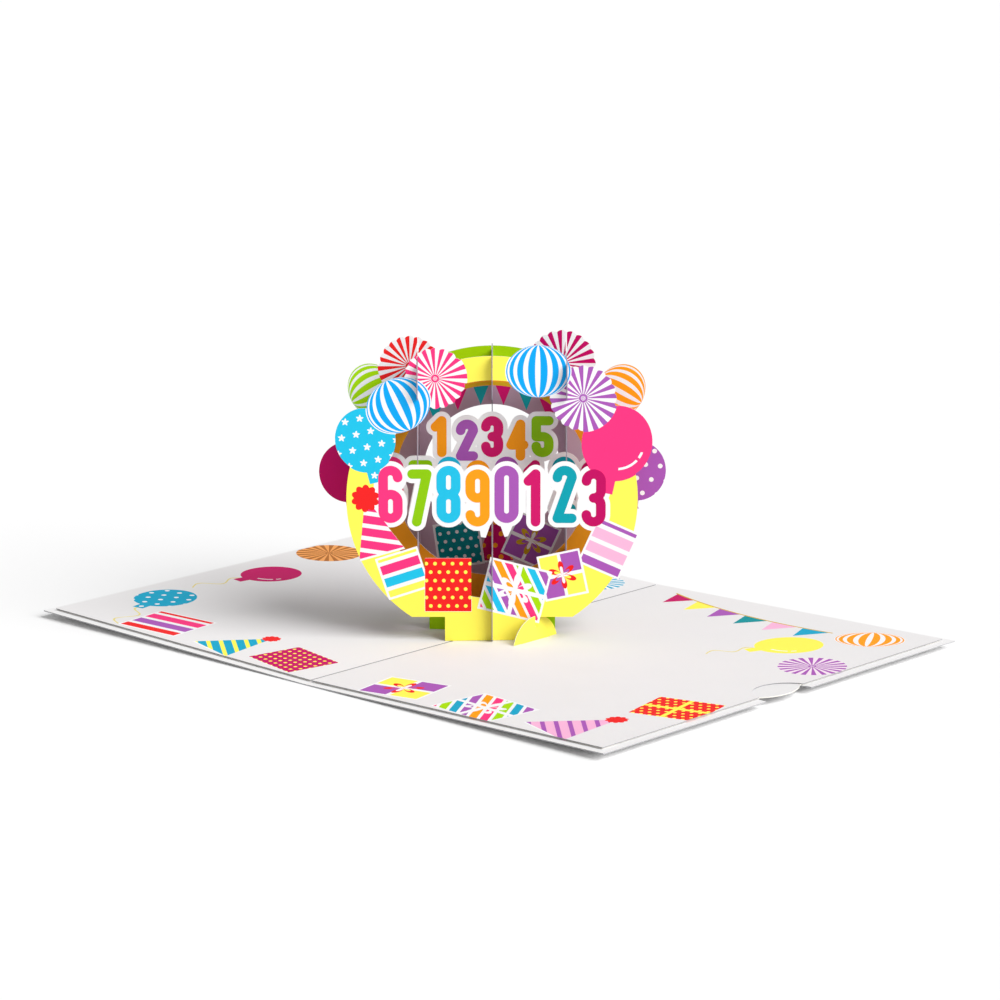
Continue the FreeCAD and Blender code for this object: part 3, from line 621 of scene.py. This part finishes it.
# The ribs' cut edges are painted dark grey, as painted shade.
dress("rib_left", plain_sheet("lilac_rib_card", LILAC, ALONG, RIB_EDGE_SHADE))
dress("rib_right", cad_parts["rib_left"].data.materials[0])
dress("rib_middle", plain_sheet("lilac_middle_rib_card", ink("C4B6D2"), ALONG, RIB_EDGE_SHADE))
dress("foot_left", plain_sheet("yellow_foot_card", YELLOW, FOOT_FACING))
dress("foot_right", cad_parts["foot_left"].data.materials[0])

# %% [markdown]
# ## The printed liners
#
# The two inner sheets carry the same kind of figures, in a loose row along the near edge and a few up
# the sides. They are drawn in the card's own X and Y, because the liners lie almost flat.


# %% Left liner
def left_liner():
    finish = Finish("left_liner_print")
    plan = finish.plan((1, 0, 0), (0, 1, 0))
    colour = paint_string(finish, LINER_WHITE, plan, (-104.0, -62.0), 24.0, 20, STRAW)
    colour = paint_balloon(finish, colour, plan, (-108.0, -50.0), 10.4, 10, DEEP_CYAN, "dots")
    colour = paint_string(finish, colour, plan, (-108.5, -12.0), 22.0, -12, STRAW)
    colour = paint_balloon(finish, colour, plan, (-106.0, -1.0), 10.0, -8, MAGENTA)
    colour = paint_fan(finish, colour, plan, (-113.0, 35.0), 11.5, ink("B06A2C"), ink("F0A45C"))
    colour = paint_parcel(finish, colour, plan, (-83.0, -72.0), 25.0, 22.0, 6, [HOT_PINK, RED, PURPLE], None, "bands")
    colour = paint_hat(finish, colour, plan, (-50.0, -84.0), 21.0, 24.0, -14, [DEEP_CYAN, YELLOW], RED, "stripes", 3.2)
    colour = paint_parcel(finish, colour, plan, (-21.0, -73.0), 23.0, 20.0, -10, [MAGENTA, YELLOW], None, "dots",
                          rim=0.0)
    colour = paint_fan(finish, colour, plan, (-17.0, 73.0), 9.6, DEEP_CYAN)
    # The liner's cut edge is painted grey, as painted shade along its edge.
    return finish_card(finish, colour, (0, 0, 1), core_and_edge_shade=LINER_EDGE_SHADE, sheen=0.03)


dress("liner_left", left_liner())


# %% Right liner
def right_liner():
    finish = Finish("right_liner_print")
    plan = finish.plan((1, 0, 0), (0, 1, 0))
    colour = paint_bunting(finish, LINER_WHITE, plan, (14.0, 80.0), 78.0, -8, 4.5, 6, 11.0,
                           [MAGENTA, YELLOW, PURPLE, TEAL, PALE_PINK, DEEP_CYAN], GOLD)
    colour = paint_lantern(finish, colour, plan, (106.0, 70.0), 11.5, 9.4, 30, ORANGE)
    colour = paint_string(finish, colour, plan, (84.0, 37.0), 18.0, -30, STRAW)
    colour = paint_balloon(finish, colour, plan, (90.0, 47.0), 10.4, -24, YELLOW)
    colour = paint_fan(finish, colour, plan, (113.0, 30.0), 10.8, PURPLE, ink("F4E3EE"))
    colour = paint_parcel(finish, colour, plan, (113.0, -38.0), 23.0, 21.0, 12, [RED, YELLOW], YELLOW, "dots", rim=0.0)
    colour = paint_hat(finish, colour, plan, (98.0, -84.0), 24.0, 26.0, -20, [PALE_PINK, PURPLE], RED, "stripes", 3.6)
    colour = paint_parcel(finish, colour, plan, (66.0, -75.0), 27.0, 22.0, -8,
                          [HOT_PINK, LIME, DEEP_CYAN, PURPLE, ORANGE], WHITE, "stripes", WHITE)
    colour = paint_parcel(finish, colour, plan, (30.0, -74.0), 23.0, 20.0, 10, [YELLOW, PURPLE], WHITE, "quarters", RED)
    # The liner's cut edge is painted grey, as painted shade along its edge.
    return finish_card(finish, colour, (0, 0, 1), core_and_edge_shade=LINER_EDGE_SHADE, sheen=0.03)


dress("liner_right", right_liner())


# %% [markdown]
# ## White card
#
# The cover, the note card and the hidden mounting strips are unprinted. White on white is easy to
# lose, so each is a slightly different white, as papers from different mills are.


# %% Cover, note card and mounting strips
def white_stock(name, code, fibre_scale, core_and_edge_shade=CUT_EDGE):
    finish = Finish(name)
    fibre = finish.node("ShaderNodeTexNoise", None,
                        {"Vector": finish.place(), "Scale": fibre_scale, "Detail": 5.0, "Roughness": 0.7})
    pale = ink(code)
    deeper = tuple(c * 0.96 for c in pale[:3]) + (1.0,)
    return finish_card(finish, finish.paint(pale, deeper, fibre), (0, 0, 1), roughness=0.55, core_and_edge_shade=core_and_edge_shade)


# The cover's cut edge is painted grey, as painted shade along its edge.
dress("cover", white_stock("white_cover_card", "F0EFEF", 700.0, COVER_EDGE_SHADE))
dress("note_card", white_stock("white_note_card", "E9E8E8", 1100.0))
dress("mounting_strip_left", white_stock("white_foam_tape", "EDECE6", 1600.0))
dress("mounting_strip_right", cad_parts["mounting_strip_left"].data.materials[0])

# %% [markdown]
# ## Ink of the numerals
#
# Each stroke is one closed outline, straight or bowed, extruded by the thickness of the ink. The strokes
# of a numeral are in one ink and almost in one plane, so where they cross they read as one shape.


# %% From strokes to a flat numeral
INK_HEIGHT = 0.03
INK_STEP = 0.004
INK_BACK = 0.01
CAP_STEPS = 10
BOW_STEP = 12


def arc(u, z, radius, start, end, steps):
    """Points on an arc, from its start angle to its end angle in degrees."""
    turns = [math.radians(start + (end - start) * i / steps) for i in range(steps + 1)]
    return [(u + radius * math.cos(turn), z + radius * math.sin(turn)) for turn in turns]


def line_outline(start, end, radius):
    """A straight stroke with round ends."""
    lean = math.degrees(math.atan2(end[1] - start[1], end[0] - start[0]))
    return (arc(*end, radius, lean - 90, lean + 90, CAP_STEPS)
            + arc(*start, radius, lean + 90, lean + 270, CAP_STEPS))


def bow_outline(u, z, bow, start, end, radius):
    """A curved stroke with round ends: out along its outer edge and back along its inner one."""
    steps = round((end - start) / BOW_STEP)
    near, far = arc(u, z, bow, start, end, 1)
    far_cap = arc(*far, radius, end, end + 180, CAP_STEPS)[1:-1]
    near_cap = arc(*near, radius, start + 180, start + 360, CAP_STEPS)[1:-1]
    return (arc(u, z, bow + radius, start, end, steps) + far_cap
            + arc(u, z, bow - radius, end, start, steps) + near_cap)


def numeral_mesh(digit, bow, tall, radius):
    """Every stroke is a step thicker each way than the last, so that no two surfaces lie in one plane."""
    form = bmesh.new()
    for place, stroke in enumerate(numeral_strokes(digit, bow, tall)):
        outline = line_outline(*stroke, radius) if len(stroke) == 2 else bow_outline(*stroke, radius)
        back = INK_BACK + place * INK_STEP
        sole = form.faces.new([form.verts.new((u, back, z)) for u, z in outline])
        raised = bmesh.ops.extrude_face_region(form, geom=[sole])["geom"]
        front = [item for item in raised if isinstance(item, bmesh.types.BMVert)]
        bmesh.ops.translate(form, verts=front, vec=(0, -INK_HEIGHT - place * INK_STEP - back, 0))
    bmesh.ops.recalc_face_normals(form, faces=form.faces)
    mesh = bpy.data.meshes.new(f"numeral_{digit}")
    form.to_mesh(mesh)
    form.free()
    return mesh


print("ink stands", INK_HEIGHT, "mm proud of its plate")

# %% [markdown]
# The rows stand on the front and the middle ring. The lower row is cut in both, so that the second copy
# shows behind the first; the upper row is on the middle ring only.


# %% Set the rows
def numeral_ink(name, colour):
    finish = Finish(name)
    point = finish.place()
    mottle = finish.node("ShaderNodeTexNoise", None, {"Vector": point, "Scale": 1200.0, "Detail": 3.0})
    deeper = tuple(c * 0.94 for c in colour[:3]) + (1.0,)
    finish.feed("Base Color", finish.paint(colour, deeper, mottle))
    finish.feed("Roughness", 0.45 + mottle * 0.1)
    finish.set(Specular_IOR_Level=0.15)
    return finish.material


INKS = {name: numeral_ink(f"{name}_ink", colour) for name, colour in {
    "pink": HOT_PINK, "lime": ink("8CC800"), "cyan": CYAN, "orange": ORANGE, "purple": PURPLE,
    "magenta": ink("D01068"), "teal": ink("00A0B0"), "crimson": MAGENTA}.items()}
LOWER_INKS = ["pink", "lime", "cyan", "orange", "purple", "magenta", "teal", "crimson"]
UPPER_INKS = ["orange", "purple", "magenta", "orange", "lime"]


def set_row(prefix, digits, row, inks, across):
    """One thin printed numeral on each plate of a row."""
    for place, (digit, colour) in enumerate(zip(digits, inks)):
        mesh = numeral_mesh(digit, *numeral_size(row), STROKE / 2)
        u, z = numeral_foot(row, len(digits), place)
        to_card = (Matrix.Scale(MM, 4) @ Matrix.Rotation(TURN, 4, "Z")
                   @ Matrix.Translation((u, across - SHEET / 2, z)))
        mesh.transform(to_card)
        mesh.materials.clear()
        mesh.materials.append(INKS[colour])
        numeral = bpy.data.objects.new(f"{prefix}_{place + 1}", mesh)
        bpy.context.scene.collection.objects.link(numeral)
        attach(numeral, "card")
    print(f"{prefix}: {len(digits)} numerals")


set_row("front_numeral", LOWER_DIGITS, LOWER_ROW, LOWER_INKS, -PITCH)
set_row("middle_numeral", LOWER_DIGITS, LOWER_ROW, LOWER_INKS, 0)
set_row("upper_numeral", UPPER_DIGITS, UPPER_ROW, UPPER_INKS, 0)

# %% [markdown]
# ## Studio
#
# The card stands on a white table in an even white surround. One broad lamp shines from the right and
# a little from the front, which throws the pop-up's soft shadow over the left panel. The table is
# lit to just past white, so only shadows show on it.


# %% Table and surround
def studio_floor():
    form = bmesh.new()
    bmesh.ops.create_grid(form, x_segments=1, y_segments=1, size=8.0)
    mesh = bpy.data.meshes.new("studio_floor")
    form.to_mesh(mesh)
    form.free()
    floor = bpy.data.objects.new("studio_floor", mesh)
    bpy.context.scene.collection.objects.link(floor)
    finish = Finish("studio_white")
    finish.set(Base_Color=(0.95, 0.95, 0.95, 1), Roughness=0.95, Specular_IOR_Level=0.1)
    mesh.materials.append(finish.material)


studio_floor()


def white_surround(ambient):
    """A white world: at full strength where it is seen, at the ambient level where it lights."""
    world = bpy.data.worlds.new("white_surround")
    bpy.context.scene.world = world
    world.use_nodes = True
    tree = world.node_tree
    tree.nodes.clear()
    rays = tree.nodes.new("ShaderNodeLightPath")
    seen = rays.outputs["Is Camera Ray"]
    for kind in ("Is Glossy Ray", "Is Transmission Ray"):
        either = tree.nodes.new("ShaderNodeMath")
        either.operation = "MAXIMUM"
        tree.links.new(seen, either.inputs[0])
        tree.links.new(rays.outputs[kind], either.inputs[1])
        seen = either.outputs[0]
    strength = tree.nodes.new("ShaderNodeMapRange")
    strength.inputs["To Min"].default_value = ambient
    strength.inputs["To Max"].default_value = 1.0
    tree.links.new(seen, strength.inputs["Value"])
    background = tree.nodes.new("ShaderNodeBackground")
    background.inputs["Color"].default_value = (1, 1, 1, 1)
    tree.links.new(strength.outputs["Result"], background.inputs["Strength"])
    output = tree.nodes.new("ShaderNodeOutputWorld")
    tree.links.new(background.outputs[0], output.inputs["Surface"])
    print("surround lights the card at", ambient)


white_surround(0.36)


# %% Lamp
def broad_lamp(name, toward_lamp, spread, strength):
    """A lamp with parallel rays, as wide in the sky as its spread in degrees."""
    lamp = bpy.data.lights.new(name, "SUN")
    lamp.angle = math.radians(spread)
    lamp.energy = strength
    carrier = bpy.data.objects.new(name, lamp)
    carrier.rotation_euler = Vector(toward_lamp).to_track_quat("Z", "Y").to_euler()
    bpy.context.scene.collection.objects.link(carrier)
    print(f"{name}: {strength} W/m2 over {spread} degrees")


broad_lamp("key", ALONG * 0.66 - BACKWARD * 0.42 + Vector((0, 0, 0.62)), 48, 3.6)

# %% [markdown]
# ## Camera
#
# The picture was taken from the near corner, a little above the card, with a long lens. The numbers
# come from matching the corners of the card.


# %% Camera
VIEW_PITCH = math.radians(12.72)
toward = Vector((-math.sin(TURN) * math.cos(VIEW_PITCH), math.cos(TURN) * math.cos(VIEW_PITCH), -math.sin(VIEW_PITCH)))
aim_point = (Vector((0, 0, 46.0)) + ALONG * 2.62) * MM
camera = bpy.data.objects.new("camera", bpy.data.cameras.new("camera"))
camera.data.sensor_width = 36.0
camera.data.lens = 36.0 * 3.7588
camera.location = aim_point - toward * 1258.4 * MM
camera.rotation_euler = toward.to_track_quat("-Z", "Y").to_euler()
bpy.context.scene.collection.objects.link(camera)
bpy.context.scene.camera = camera
bpy.context.scene.view_settings.view_transform = "Standard"
print("camera stands", round(camera.location.length, 3), "m away")
